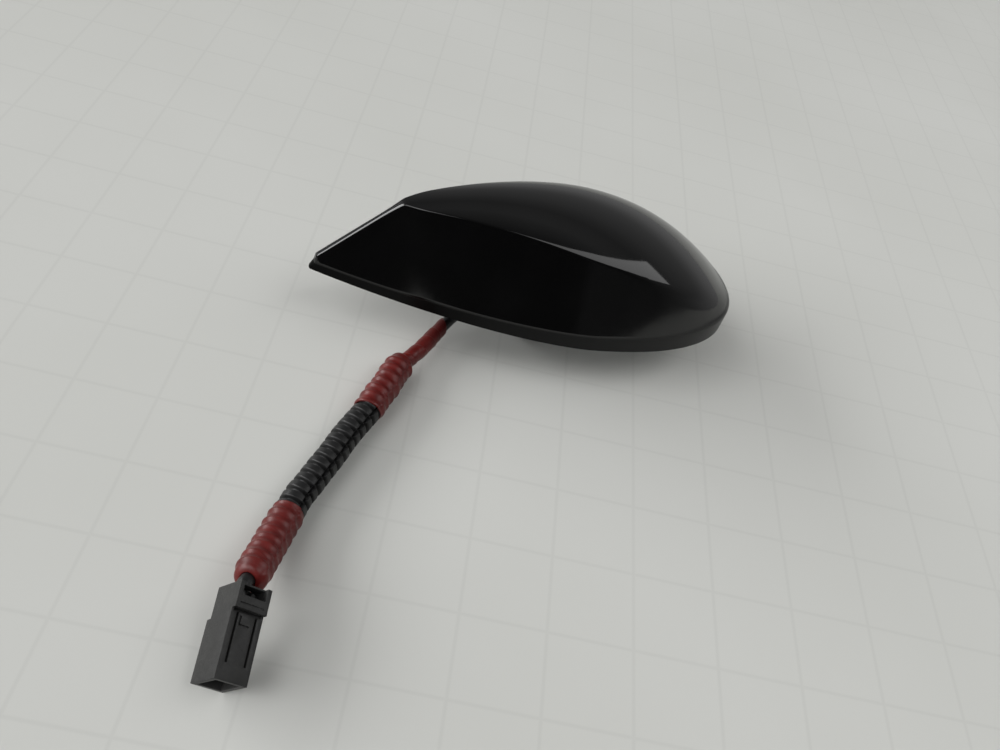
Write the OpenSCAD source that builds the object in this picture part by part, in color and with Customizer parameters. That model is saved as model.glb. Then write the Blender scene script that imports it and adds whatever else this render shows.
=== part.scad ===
// Low roof aerial with a moulded fin cover, a die-cast base, a patch aerial on its board,
// and a short lead in split conduit that ends in a small locking connector.
// Origin: axis of the mounting boss on the plane of the roof. +X to the nose, +Z up.

/* [Cover] */
// Length of the cover from nose to tail
cover_l = 119.5; // [112:0.5:130]
// Width of the cover at its widest place
cover_w = 48.8; // [46:0.2:56]
// Distance from the nose tip back to the widest place
widest_at = 45; // [40:1:50]
// Fullness of the nose in plan, 2 is an ellipse
nose_fullness = 2.4; // [2:0.1:2.8]
// Taper of the plan towards the tail
tail_taper = 1.55; // [1.4:0.05:1.8]
// Share of the cover's length that lies in front of the boss axis
boss_share = 0.46025; // [0.45:0.001:0.48]
// Share of the cover's length in front of the top corner of the fin
fin_share = 0.82; // [0.8:0.005:0.85]
// Height of the fin's top corner above the rim
fin_h = 24.2; // [22:0.2:30]
// Extra height that pulls the ridge up in front of the fin's corner
ridge_swell = 15.6; // [12:0.2:20]
// Distance behind the nose at which the ridge is pulled up
ridge_reach = 30.8; // [28:0.2:36]
// Upright skirt height at the nose
skirt_nose = 6.1; // [5:0.1:7]
// Upright skirt height at the tail
skirt_tail = 2.6; // [2.2:0.1:3.5]
// Thickness of the trailing edge of the fin
edge_t = 1.6; // [1.2:0.1:2.4]
// Share of the half width that the crease reaches near the nose
crease_spread = 0.885; // [0.8:0.005:0.92]
// How quickly the creases spread from the fin's corner
crease_power = 0.4; // [0.35:0.01:0.6]
// Drop of the crease below the ridge along the cover, as a share of the ridge height
crease_drop = 0.34; // [0.25:0.01:0.4]
// Height share left to the crease at the nose
crease_nose = 0.136; // [0.1:0.002:0.2]
// Wall thickness of the moulding
wall = 2.2; // [1.8:0.1:2.6]

/* [Cover screws] */
// Outside diameter of the screw bosses in the cover
post_d = 5.5; // [5:0.1:6]
// Diameter of the pilot holes in the bosses
pilot_d = 2; // [1.8:0.05:2.2]
// Depth of the pilot holes
pilot_l = 9; // [8:0.5:9.5]
// Diameter of the screw shanks
screw_d = 1.9; // [1.5:0.05:1.95]
// Length of the screw shanks
screw_l = 8; // [6:0.5:9]
// Diameter of the screw heads
screw_head_d = 4.4; // [4:0.1:4.6]
// Thickness of the screw heads
screw_head_t = 1.4; // [1:0.1:1.6]
// Distance of the front pair behind the nose tip
front_pair_at = 15; // [14:0.5:16]
// Distance of the middle pair behind the nose tip
middle_pair_at = 38; // [36:0.5:40]
// Distance of the rear screw in front of the fin's corner
rear_screw_gap = 2; // [1:0.5:3]
// Distance of the paired screws inside the creases
pair_inset = 4.5; // [4:0.1:5]

/* [Base] */
// Thickness of the die-cast base plate
base_t = 2.5; // [2.2:0.1:3]
// Gap between the base plate and the cover's wall
base_gap = 0.25; // [0.15:0.05:0.4]
// Height of the locating lip on the base plate
lip_h = 1.6; // [1:0.1:2]
// Width of the locating lip
lip_w = 1.2; // [1:0.1:1.5]
// Diameter of the mounting boss that passes through the roof
boss_d = 14; // [12:0.5:15]
// Length of the boss below the roof plane
boss_l = 14.5; // [12:0.5:18]
// Chamfer at the boss's end
boss_chamfer = 1; // [0.5:0.1:1.5]
// Tapping diameter of the bolt hole in the boss
bolt_d = 5; // [4.2:0.1:6]
// Depth of the bolt hole
bolt_l = 12; // [8:0.5:13]

/* [Seals] */
// Thickness of the rim seal under the cover and the base
seal_t = 0.8; // [0.6:0.1:1.2]
// Distance of the rim seal inside the cover's outline
seal_inset = 1.2; // [1:0.1:1.6]
// Width of the rim seal
seal_w = 3.5; // [3.2:0.1:4.2]
// Length of the oval roof seal round the boss and the cable
oval_l = 38; // [37:0.5:40]
// Width of the oval roof seal
oval_w = 24; // [23:0.5:26]
// Width of the roof seal's band
oval_band = 3; // [2.5:0.1:3.4]
// Depth of the groove that holds the roof seal in the base
groove_t = 0.8; // [0.5:0.1:1.2]

/* [Board] */
// Thickness of the circuit board
board_t = 1.6; // [1.2:0.1:2]
// Height of the cast posts under the board
stand_h = 4.7; // [4.2:0.1:5.5]
// Diameter of the cast posts
stand_d = 4.6; // [4:0.1:5]
// Share of the cover's length in front of the board's front edge
board_front_share = 0.159; // [0.155:0.001:0.17]
// Distance of the board's tail edge in front of the fin's corner
board_tail_gap = 6.5; // [6:0.5:8]
// Gap between the board's sides and the middle pair of screw bosses
board_side_gap = 0.6; // [0.4:0.1:1]
// Width of the tail part, as a share of the front part
board_tail_share = 0.76; // [0.72:0.01:0.78]
// Distance of the board screws from the board's edges
board_screw_in = 3; // [2.6:0.1:3.2]
// Diameter of the board screws
board_screw_d = 1.9; // [1.5:0.1:2]
// Length of the board screws below their heads
board_screw_l = 5; // [4:0.5:5.5]
// Diameter of the board screws' heads
board_head_d = 3.8; // [3.4:0.1:4]
// Thickness of the board screws' heads
board_head_t = 1.3; // [1:0.1:1.6]

/* [Aerial] */
// Distance of the square ceramic patch inside the board's sides
patch_side_gap = 1; // [0.8:0.1:2]
// Thickness of the ceramic patch
patch_t = 4; // [3.5:0.1:4.4]
// Thickness of the adhesive pad under the patch
pad_t = 0.5; // [0.3:0.1:0.8]
// Distance of the silver electrode inside the edges of the patch
electrode_in = 1.75; // [1.5:0.25:2.5]
// Thickness of the electrode
electrode_t = 0.15; // [0.1:0.05:0.3]
// Diameter of the feed pin
feed_d = 1; // [0.8:0.1:1.2]
// Diameter of the feed pin's head
feed_head_d = 2.2; // [1.8:0.1:2.6]
// Distance of the patch behind the board's front edge
patch_at = 7; // [6.5:0.5:8]
// Distance of the shield can in front of the board's tail edge
can_tail_gap = 7; // [6.5:0.5:8]
// Distance of the shield can behind the amplifier chip
can_front_gap = 3.5; // [2:0.5:4]
// Distance of the shield can inside the sides of the board's tail
can_side_gap = 1.6; // [1.2:0.1:2]
// Height of the shield can
can_h = 3.5; // [3:0.1:4]
// Thickness of the can's sheet
can_t = 0.3; // [0.2:0.05:0.4]
// Distance of the filter block behind the patch
filter_gap = 6; // [4:0.5:7]
// Length of the filter block
filter_l = 5; // [4:0.5:5]
// Width of the filter block
filter_w = 7; // [6:0.5:8]
// Height of the filter block
filter_h = 2; // [1.5:0.1:2.5]
// Distance of the amplifier chip behind the filter block
chip_gap = 1; // [0.8:0.1:1.5]
// Side of the amplifier chip
chip_w = 4; // [3:0.5:4]
// Thickness of the amplifier chip
chip_t = 1; // [0.8:0.1:1.4]

/* [Lead] */
// Diameter of the coaxial cable
cable_d = 3.2; // [2.8:0.1:3.3]
// Thickness of one layer of wound tape
tape_t = 0.4; // [0.3:0.05:0.5]
// Outside diameter of the split conduit
conduit_d = 7; // [6.6:0.1:7.4]
// Inside diameter of the split conduit
conduit_bore = 4.6; // [4.5:0.1:4.9]
// Hairline gap between nested pieces of the lead
nest_gap = 0.05; // [0.03:0.01:0.1]
// Distance of the cable gland behind the boss axis
gland_at = 15; // [14:0.5:15.5]
// Diameter of the gland's hole in the base
gland_d = 7; // [6.5:0.1:7.5]
// Diameter of the gland's flanges
gland_flange_d = 9.6; // [9:0.1:10]
// Thickness of the gland's flanges
gland_flange_t = 0.8; // [0.6:0.1:1]
// Gap between the gland and the cable, and between the gland and its hole
gland_gap = 0.1; // [0.05:0.05:0.2]
// Wall of the solder ferrule on the cable's inner end
ferrule_wall = 0.5; // [0.4:0.1:0.8]

/* [Connector] */
// Length of the connector housing
plug_l = 18.7; // [17:0.1:20]
// Width of the plain face of the housing at its front
plug_w = 8.7; // [8.4:0.1:9.4]
// Width of the latch face of the housing
plug_h = 7.1; // [6.8:0.1:7.8]
// Step by which the rear of the housing is narrower
plug_step = 1.3; // [1:0.1:1.5]
// Length of the narrower rear part
plug_rear_l = 6.4; // [6:0.1:7]
// Wall of the housing round its mouth
plug_wall = 1; // [0.8:0.1:1.1]
// Depth of the mouth
mouth_l = 8; // [7:0.1:8.5]
// Width of the slots beside the latch arm
slot_w = 0.6; // [0.5:0.05:0.7]
// Depth of the slots beside the latch arm
slot_t = 0.8; // [0.5:0.05:0.9]
// Height of the guard over the latch arm
guard_h = 1.1; // [0.9:0.1:1.3]
// Length of the guard
guard_l = 5.2; // [4.8:0.1:5.6]
// Width of one contact blade
blade_w = 1; // [0.8:0.1:1.2]
// Thickness of one contact blade
blade_t = 0.6; // [0.5:0.05:0.8]
// Length of the contact blades inside the mouth
blade_l = 6; // [5:0.1:6.5]
// Spacing of the contact blades
blade_pitch = 2.5; // [2.2:0.1:3]
// Length of the terminal retainer
retainer_l = 4; // [3:0.1:4.5]
// Thickness of the terminal retainer
retainer_t = 1; // [0.8:0.1:1.4]

/* [Hidden] */
$fn = 48;
eps = 0.01;

// Places along the cover, as distances behind the nose
nose_x = boss_share * cover_l;
fin_at = fin_share * cover_l;
board_front_at = board_front_share * cover_l;

// Heights above the roof plane
rim_z = seal_t;
base_top = rim_z + base_t;
board_z = base_top + stand_h;
board_top = board_z + board_t;
patch_z = board_top + pad_t;
patch_top = patch_z + patch_t;

// Places along X
gland_x = -gland_at;
board_front_x = nose_x - board_front_at;
board_tail_x = nose_x - fin_at + board_tail_gap;
oval_x = (boss_d / 2 + oval_band + 3 + gland_x - gland_flange_d / 2 - oval_band - 3) / 2;
screw_top = rim_z + screw_head_t + 0.1;

// Plan of the cover: half width at a distance d behind the nose, drawn in by an inset
half_w_max = cover_w / 2;
edge = edge_t / 2;
function half_w(d, inset = 0) =
  d < widest_at
  ? (half_w_max - inset)
    * pow(max(0, 1 - pow((widest_at - d) / (widest_at - inset), nose_fullness)), 1 / nose_fullness)
  : edge - inset
    + (half_w_max - edge) * (1 - pow((d - widest_at) / (cover_l - widest_at), tail_taper));

// Side view of the cover: skirt, ridge and crease heights above the rim
function skirt_z(d) = skirt_nose - (skirt_nose - skirt_tail) * d / cover_l;
function bezier(a, b, c, e, t) =
  pow(1 - t, 3) * a + 3 * pow(1 - t, 2) * t * b + 3 * (1 - t) * t * t * c + pow(t, 3) * e;
ridge_table = [
  for (i = [0:80]) let (t = pow(i / 80, 1.2)) [
    bezier(0, 1.1, ridge_reach, fin_at, t),
    bezier(skirt_nose, skirt_nose, fin_h + ridge_swell, fin_h, t)
  ]
];
tail_z = skirt_tail + 0.6;
function ridge_z(d) =
  d <= fin_at ? lookup(d, ridge_table)
  : fin_h + (d - fin_at) / (cover_l - fin_at) * (tail_z - fin_h);
function along(d) = max(0, (fin_at - d) / fin_at);
function crease_y(d) =
  edge + (half_w(d) - edge) * (d < fin_at ? crease_spread * pow(along(d), crease_power) : 0);
function crease_share(d) =
  let (s = along(d), e = max(0, d - fin_at) / (cover_l - fin_at))
  min(0.97 - 0.3 * pow(e, 4), 1 - crease_drop * s - (1 - crease_drop - crease_nose) * pow(s, 8));
function crease_z(d) = skirt_z(d) + (ridge_z(d) - skirt_z(d)) * crease_share(d);

// Height of the outer surface above the rim at distance d and offset y
function top_power(d) = 1 - along(d) / 2;
function outer_z(d, y) =
  let (w = half_w(d), c = crease_y(d), z = crease_z(d), s = skirt_z(d))
  y < c ? z + (ridge_z(d) - z) * pow(1 - pow(y / c, 2), top_power(d))
  : s + (z - s) * max(0, w - y) / (w - c);

// Half sections of the outer and inner surface, from the rim up to the ridge
side_n = 4;
top_n = 6;
bulge = 0.4;
function outer_half(d) =
  let (w = half_w(d), s = skirt_z(d), c = crease_y(d), z = crease_z(d), r = ridge_z(d),
       b = bulge * max(0, min(1, (w - c - 0.6) / 5)))
  concat(
    [[w, 0], [w, s]],
    [for (i = [1:side_n]) let (k = i / side_n, h = b * 4 * k * (1 - k)) [w + (c - w) * k + h, s + (z - s) * k + h]],
    [for (i = [1:top_n]) let (k = 1 - i / top_n) [c * k, z + (r - z) * pow(1 - k * k, top_power(d))]]
  );
inner_top_n = 3;
side_wall = wall * 1.1;
function apex_drop(d) = wall * 0.7 * (1 - min(1, crease_y(d) / (3 * wall)));
function inner_half(d) =
  let (w = half_w(d, side_wall), s = max(base_t + 0.2, skirt_z(d) - wall * 0.4), c = max(0.3, crease_y(d) - wall),
       r = ridge_z(d) - wall - apex_drop(d), z = min(r - 0.05, crease_z(d) - wall - apex_drop(d)),
       cc = min(c, w * 0.9), zz = max(z, s + 0.1), rr = max(r, zz + 0.05))
  concat(
    [[w, 0], [w, s], [(w + cc) / 2, (s + zz) / 2], [cc, zz]],
    [for (i = [1:inner_top_n]) let (k = 1 - i / inner_top_n) [cc * k, zz + (rr - zz) * pow(1 - k * k, top_power(d))]]
  );

// Stations along the cover, as distances behind the nose
hollow_from = side_wall + 0.2;
hollow_to = fin_at + 0.55 * (cover_l - fin_at);
nose_flat = 0.4;
front_stations = [0, 0.8, 1.6];
hollow_stations = concat(
  [for (i = [0:27]) hollow_from + (fin_at - hollow_from) * pow(i / 28, 1.3)],
  [for (i = [0:3]) fin_at + (hollow_to - fin_at) * i / 3]
);
tail_stations = [for (i = [1:2]) hollow_to + (cover_l - hollow_to) * i / 2];
stations = concat(front_stations, hollow_stations, tail_stations);

// Faces listed the other way round
function turned(faces) = [for (f = faces) [for (i = [len(f) - 1:-1:0]) f[i]]];

// A full section across the cover, from the left rim over the ridge to the right rim
function mirror_half(half, x) =
  let (n = len(half))
  concat([for (p = half) [x, -p[0], p[1]]], [for (i = [n - 2:-1:0]) [x, half[i][0], half[i][1]]]);
function strip(a, b, n, flip) = [
  for (j = [0:n - 2]) each (flip
    ? [[a + j, b + j, a + j + 1], [a + j + 1, b + j, b + j + 1]]
    : [[a + j, a + j + 1, b + j], [a + j + 1, b + j + 1, b + j]])
];

// A flat end of n points from a, joined in level pairs
function end_cap(a, n, flip) = [
  for (j = [0:(n - 3) / 2]) let (l = a + j, l2 = l + 1, r = a + n - 1 - j, r2 = r - 1) each (flip
    ? concat([[l, l2, r]], l2 == r2 ? [] : [[l2, r2, r]])
    : concat([[l, r, l2]], l2 == r2 ? [] : [[l2, r, r2]]))
];

module shell() {
  rows = len(stations);
  first = len(front_stations);
  last = first + len(hollow_stations) - 1;
  m = 2 * len(outer_half(1)) - 1;
  k = 2 * len(inner_half(widest_at)) - 1;
  outer = [for (d = stations) each mirror_half(outer_half(max(d, nose_flat)), nose_x - d)];
  inner = [for (d = hollow_stations) each mirror_half(inner_half(d), nose_x - d)];
  in0 = rows * m;
  function ol(i) = i * m;
  function or(i) = i * m + m - 1;
  function il(i) = in0 + (i - first) * k;
  function ir(i) = in0 + (i - first) * k + k - 1;
  polyhedron(
    points = concat(outer, inner),
    faces = turned(concat(
      [for (i = [0:rows - 2]) each strip(ol(i), ol(i + 1), m, false)],
      [for (i = [first:last - 1]) each strip(il(i), il(i + 1), k, true)],
      end_cap(0, m, false),
      end_cap(ol(rows - 1), m, true),
      end_cap(il(first), k, true),
      end_cap(il(last), k, false),
      [for (i = [0:first - 2]) each [[ol(i), ol(i + 1), or(i + 1)], [ol(i), or(i + 1), or(i)]]],
      [[ol(first - 1), ol(first), il(first)], [ol(first - 1), il(first), ir(first)],
       [ol(first - 1), ir(first), or(first)], [ol(first - 1), or(first), or(first - 1)]],
      [for (i = [first:last - 1]) each [
        [ol(i), ol(i + 1), il(i + 1)], [ol(i), il(i + 1), il(i)],
        [or(i), ir(i), ir(i + 1)], [or(i), ir(i + 1), or(i + 1)]
      ]],
      [[ol(last + 1), il(last), ol(last)], [ol(last + 1), ir(last), il(last)],
       [ol(last + 1), or(last), ir(last)], [ol(last + 1), or(last + 1), or(last)]],
      [for (i = [last + 1:rows - 2]) each [[ol(i), ol(i + 1), or(i + 1)], [ol(i), or(i + 1), or(i)]]]
    ))
  );
}

// Cover screw places, as [distance behind the nose, offset]
function pair_y(d) = crease_y(d) - pair_inset;
screw_spots = [
  [front_pair_at, pair_y(front_pair_at)], [front_pair_at, -pair_y(front_pair_at)],
  [middle_pair_at, pair_y(middle_pair_at)], [middle_pair_at, -pair_y(middle_pair_at)],
  [fin_at - rear_screw_gap, 0]
];
module at_screws() {
  for (p = screw_spots) translate([nose_x - p[0], p[1], 0]) children();
}
// The top of a boss ends inside the cover's wall at its lowest side
function post_top(p) =
  let (r = post_d / 2)
  rim_z - 0.5 + min([for (a = [0:30:330]) outer_z(p[0] + r * cos(a), abs(p[1] + r * sin(a)))]);

// Widths of the board and the patch follow the cover, and its parts follow each other along X
board_w = 2 * (pair_y(middle_pair_at) - post_d / 2 - board_side_gap);
board_tail_w = board_tail_share * board_w;
patch_w = board_w - 2 * patch_side_gap;
electrode_w = patch_w - 2 * electrode_in;
can_w = board_tail_w - 2 * can_side_gap;
patch_x = board_front_x - patch_at - patch_w / 2;
filter_x = patch_x - patch_w / 2 - filter_gap - filter_l / 2;
chip_x = filter_x - filter_l / 2 - chip_gap - chip_w / 2;
board_step_x = chip_x + 1;
board_wide_l = board_front_x - board_step_x;
board_tail_l = board_step_x - board_tail_x;
can_x = board_tail_x + can_tail_gap;
can_l = chip_x - chip_w / 2 - can_front_gap - can_x;

// Plan outline between two distances behind the nose, drawn in by an inset
outline_n = 30;
function outline(inset, to) =
  let (from = inset + 0.12, ds = [for (i = [0:outline_n]) from + (to - from) * pow(i / outline_n, 1.3)])
  concat(
    [for (d = ds) [nose_x - d, -half_w(d, inset)]],
    [for (i = [outline_n:-1:0]) [nose_x - ds[i], half_w(ds[i], inset)]]
  );

module slab(inset, to, t) {
  linear_extrude(t) polygon(outline(inset, to));
}

module oval(l, w, t) {
  linear_extrude(t) {
    square([l - w, w], center = true);
    for (s = [-1, 1]) translate([s * (l - w) / 2, 0]) circle(d = w);
  }
}

module block(x, y, z) {
  translate([-x / 2, -y / 2, 0]) cube([x, y, z]);
}

// Moulded shell with its screw bosses
module cover() {
  color("#0b0b0d") difference() {
    union() {
      translate([0, 0, rim_z]) shell();
      for (p = screw_spots)
        translate([nose_x - p[0], p[1], base_top]) cylinder(d = post_d, h = post_top(p) - base_top);
    }
    at_screws() translate([0, 0, base_top - 1]) cylinder(d = pilot_d, h = pilot_l + 1);
  }
}

// Flat rubber seal under the joint of cover and base
module rim_seal() {
  color("#1b1b1b") difference() {
    slab(seal_inset, cover_l - 2.5, seal_t);
    translate([0, 0, -1]) slab(seal_inset + seal_w, fin_at, seal_t + 2);
  }
}

board_screw_spots = [
  for (s = [-1, 1]) each [
    [board_front_x - board_screw_in, s * (board_w / 2 - board_screw_in)],
    [board_tail_x + board_screw_in, s * (board_tail_w / 2 - board_screw_in)]
  ]
];
module at_board_screws() {
  for (p = board_screw_spots) translate([p[0], p[1], 0]) children();
}

base_inset = side_wall + base_gap;
lip_inset = base_inset + 1.4;
base_to = fin_at + 0.45 * (cover_l - fin_at);
// Die-cast plate with the mounting boss, board posts and seal groove
module base_plate() {
  color("#9a9ca0") difference() {
    union() {
      translate([0, 0, rim_z]) slab(base_inset, base_to, base_t);
      difference() {
        translate([0, 0, base_top - eps]) slab(lip_inset, base_to - 4, lip_h + eps);
        translate([0, 0, base_top - 1]) slab(lip_inset + lip_w, base_to - 6, lip_h + 2);
        at_screws() translate([0, 0, base_top - 1]) cylinder(d = post_d + 0.6, h = lip_h + 2);
      }
      rotate_extrude() polygon([
        [0, -boss_l], [boss_d / 2 - boss_chamfer, -boss_l], [boss_d / 2, boss_chamfer - boss_l],
        [boss_d / 2, rim_z + eps], [0, rim_z + eps]
      ]);
      at_board_screws() translate([0, 0, base_top - eps]) cylinder(d = stand_d, h = stand_h + eps);
    }
    translate([0, 0, -boss_l - 1]) cylinder(d = bolt_d, h = bolt_l + 1);
    at_board_screws() translate([0, 0, board_z - board_screw_l + board_t - 0.5])
      cylinder(d = board_screw_d + 0.1, h = board_screw_l);
    at_screws() {
      translate([0, 0, rim_z - 1]) cylinder(d = screw_head_d + 0.4, h = screw_top - rim_z + 1);
      translate([0, 0, rim_z - 1]) cylinder(d = screw_d + 0.5, h = base_t + 2);
    }
    translate([gland_x, 0, rim_z - 1]) cylinder(d = gland_d, h = base_t + 2);
    translate([oval_x, 0, rim_z - 1]) difference() {
      oval(oval_l + 0.2, oval_w + 0.2, groove_t + 1);
      translate([0, 0, -1]) oval(oval_l - 2 * oval_band - 0.2, oval_w - 2 * oval_band - 0.2, groove_t + 3);
    }
  }
}

// Oval rubber seal that closes the roof hole
module roof_seal() {
  color("#232323") translate([oval_x, 0, 0]) difference() {
    oval(oval_l, oval_w, rim_z + groove_t);
    translate([0, 0, -1]) oval(oval_l - 2 * oval_band, oval_w - 2 * oval_band, rim_z + groove_t + 2);
  }
}

// Five screws from below that hold the cover to the base
module cover_screws() {
  color("#c9cacc") at_screws() {
    translate([0, 0, screw_top - screw_head_t]) cylinder(d = screw_head_d, h = screw_head_t);
    translate([0, 0, screw_top - eps]) cylinder(d = screw_d, h = screw_l + eps);
  }
}

// Board with its wide front under the patch and its narrow tail
module circuit_board() {
  color("#1d5c33") difference() {
    union() {
      translate([board_step_x, -board_w / 2, board_z]) cube([board_wide_l, board_w, board_t]);
      translate([board_tail_x, -board_tail_w / 2, board_z])
        cube([board_tail_l + 1, board_tail_w, board_t]);
    }
    at_board_screws() translate([0, 0, board_z - 1]) cylinder(d = board_screw_d + 0.3, h = board_t + 2);
    translate([patch_x, 0, board_z - 1]) cylinder(d = feed_d + 0.1, h = board_t + 2);
  }
}

module board_screws() {
  color("#c9cacc") at_board_screws() {
    translate([0, 0, board_top]) cylinder(d = board_head_d, h = board_head_t);
    translate([0, 0, board_top - board_screw_l]) cylinder(d = board_screw_d, h = board_screw_l + eps);
  }
}

module patch_pad() {
  color("#e8e4d8") translate([patch_x, 0, board_top]) difference() {
    block(patch_w - 1, patch_w - 1, pad_t);
    translate([0, 0, -1]) cylinder(d = feed_d + 1, h = pad_t + 2);
  }
}

module patch_ceramic() {
  color("#d8cdb4") translate([patch_x, 0, patch_z]) difference() {
    block(patch_w, patch_w, patch_t);
    translate([0, 0, -1]) cylinder(d = feed_d + 0.1, h = patch_t + 2);
  }
}

module patch_electrode() {
  color("#d2d4d6") translate([patch_x, 0, patch_top]) difference() {
    block(electrode_w, electrode_w, electrode_t);
    translate([0, 0, -1]) cylinder(d = feed_d + 0.1, h = electrode_t + 2);
  }
}

// Pin that joins the electrode to the board
module feed_pin() {
  color("#c8a24a") translate([patch_x, 0, 0]) {
    translate([0, 0, board_z - 0.5]) cylinder(d = feed_d, h = patch_top + electrode_t - board_z + 0.5 + eps);
    translate([0, 0, patch_top + electrode_t]) cylinder(d = feed_head_d, h = 0.4);
  }
}

// Folded sheet box over the amplifier's circuit
module shield_can() {
  color("#b9bcc0") translate([can_x, -can_w / 2, board_top]) difference() {
    cube([can_l, can_w, can_h]);
    translate([can_t, can_t, -1]) cube([can_l - 2 * can_t, can_w - 2 * can_t, can_h - can_t + 1]);
  }
}

module filter_block() {
  color("#b7a57f") translate([filter_x, 0, board_top]) block(filter_l, filter_w, filter_h);
}

// The chip lies in front of the can, on the step of the board
module amplifier_chip() {
  color("#202226") translate([chip_x, 0, board_top]) block(chip_w, chip_w, chip_t);
}

// Rubber gland that holds the cable in the base
gland_nose_l = 2;
module cable_gland() {
  r = gland_d / 2 - gland_gap;
  f = gland_flange_d / 2;
  b = cable_d / 2 + gland_gap;
  color("#191919") translate([gland_x, 0, 0]) rotate_extrude() polygon([
    [b, -gland_nose_l], [b + 0.7, -gland_nose_l], [f - 2, rim_z - gland_flange_t - 0.4],
    [f, rim_z - gland_flange_t], [f, rim_z], [r, rim_z], [r, base_top], [f, base_top],
    [f, base_top + gland_flange_t], [b, base_top + gland_flange_t]
  ]);
}

// Sleeve that solders the cable's inner end to the board
module cable_ferrule() {
  from = base_top + gland_flange_t + 0.1;
  color("#c8a24a") translate([gland_x, 0, 0]) difference() {
    translate([0, 0, from]) cylinder(d = cable_d + 2 * (gland_gap + ferrule_wall), h = board_z - from);
    translate([0, 0, from - 1]) cylinder(d = cable_d + 2 * gland_gap, h = cable_in_z - from + 1 + gland_gap);
  }
}

// Route of the lead's centre line, from the board down through the gland to the connector
cable_in_z = 6.6;
route = [
  [gland_x, 0, cable_in_z], [gland_x, 0, -1.6], [gland_x - 0.2, -0.1, -3.4], [-16.2, -0.5, -5.4],
  [-18.6, -1.7, -7.6], [-23.2, -3.8, -9.3], [-26, -6.6, -9.9], [-29.4, -10.9, -10.2], [-34.4, -17.8, -10.4],
  [-37.3, -20.1, -10.5], [-39.8, -22.4, -10.5],
  [-42.1, -26.9, -10.5], [-43.9, -30.4, -10.5], [-46.7, -34.9, -10.5], [-49.3, -39.6, -10.5],
  [-52.2, -43.8, -10.5], [-55.3, -48.5, -10.5], [-58.5, -54.1, -10.5], [-61.2, -58.3, -10.5],
  [-63.8, -62.6, -10.5], [-65.9, -65.8, -10.5], [-67.6, -69.4, -10.5],
  [-69.7, -73.8, -10.2], [-71.9, -79.2, -9.3], [-73.9, -84.2, -7.8], [-75.7, -89.1, -6.1],
  [-76.9, -91.4, -5], [-77.7, -95.2, -5.8]
];
tape_from = 6;
conduit_from = 10;
upper_tape_to = 14;
lower_tape_from = 21;
conduit_to = 25;

// A direction that the lead never runs along, which steadies the rings of its tubes
side_ref = [0.8, -0.6, 0];
tube_sides = 10;
function unit(v) = v / norm(v);
function tangent(i) =
  unit(route[min(i + 1, len(route) - 1)] - route[max(i - 1, 0)]);
function tube_ring(i, r) =
  let (t = tangent(i), u = unit(cross(t, side_ref)), v = cross(t, u))
  [for (j = [0:tube_sides - 1]) let (a = 360 * j / tube_sides) route[i] + r * (cos(a) * u + sin(a) * v)];
function wrap(a, b, flip) = [
  for (j = [0:tube_sides - 1]) let (n = (j + 1) % tube_sides) each (flip
    ? [[a + j, b + j, a + n], [a + n, b + j, b + n]]
    : [[a + j, a + n, b + j], [a + n, b + n, b + j]])
];

// A rod along the route from point i to point k, or a pipe when it has a bore
module rod(i, k, r) {
  n = k - i;
  polyhedron(
    points = [for (p = [i:k]) each tube_ring(p, r)],
    faces = concat(
      [for (p = [0:n - 1]) each wrap(p * tube_sides, (p + 1) * tube_sides, true)],
      [[for (j = [0:tube_sides - 1]) j], [for (j = [tube_sides - 1:-1:0]) n * tube_sides + j]]
    )
  );
}
module pipe(i, k, r, bore) {
  n = k - i;
  in0 = (n + 1) * tube_sides;
  polyhedron(
    points = concat([for (p = [i:k]) each tube_ring(p, r)], [for (p = [i:k]) each tube_ring(p, bore)]),
    faces = concat(
      [for (p = [0:n - 1]) each wrap(p * tube_sides, (p + 1) * tube_sides, true)],
      [for (p = [0:n - 1]) each wrap(in0 + p * tube_sides, in0 + (p + 1) * tube_sides, false)],
      wrap(in0, 0, true), wrap(n * tube_sides, in0 + n * tube_sides, true)
    )
  );
}

module lead_cable() {
  color("#151515") rod(0, len(route) - 1, cable_d / 2);
}

module cable_tape() {
  bore = cable_d / 2 + nest_gap;
  color("#8a1a1c") pipe(tape_from, conduit_from, bore + tape_t, bore);
}

module conduit() {
  color("#2b2b2d") pipe(conduit_from, conduit_to, conduit_d / 2, conduit_bore / 2);
}

module conduit_wrap(i, k) {
  bore = conduit_d / 2 + nest_gap;
  color("#8a1a1c") pipe(i, k, bore + tape_t, bore);
}
module upper_tape() { conduit_wrap(conduit_from, upper_tape_to); }
module lower_tape() { conduit_wrap(lower_tape_from, conduit_to); }

// Connector, drawn from its rear end along +X with its ridge on the X axis
plug_at = [-77.2, -92.8, -5.1];
plug_turn = [-123, 12, -101];
module at_plug() {
  translate(plug_at) rotate(plug_turn) translate([0, -plug_w / 2, -plug_h / 2]) children();
}

slot_from = guard_l + 0.2;
slot_l = plug_l - slot_from - 3.2;
arm_in = 1.2;
guard_wall = 0.9;
entry_d = cable_d + 0.5;
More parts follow.
